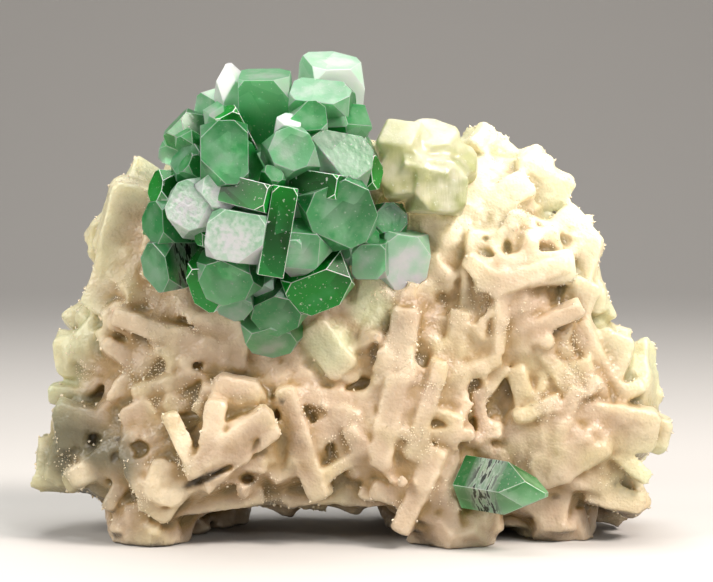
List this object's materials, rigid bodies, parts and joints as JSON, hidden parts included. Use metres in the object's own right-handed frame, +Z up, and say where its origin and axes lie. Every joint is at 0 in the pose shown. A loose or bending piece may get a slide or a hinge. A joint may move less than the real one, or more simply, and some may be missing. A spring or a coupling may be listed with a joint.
{
  "type": "apophyllite specimen",
  "caption": "Green apophyllite crystals in a ball on a cream stilbite matrix, with a pale crest and a lone crystal beside it.",
  "frame": {"origin": "middle of the specimen's outer box, on the plane of its feet", "axes": "+X to the right along its length, +Y to the back, +Z up"},
  "size_m": [0.1184, 0.063, 0.091],
  "materials": {
    "stilbite": "waxy translucent stilbite, cream to olive-cream",
    "apophyllite_green": "clear green crystal with frosted end faces",
    "apophyllite_pale": "cloudy pale yellow-green crystal"
  },
  "bodies": {
    "root": {"stilbite_matrix": "stilbite", "apophyllite_cluster": "apophyllite_green", "apophyllite_single_crystal": "apophyllite_green", "apophyllite_crest": "apophyllite_pale"}
  },
  "joints": []
}
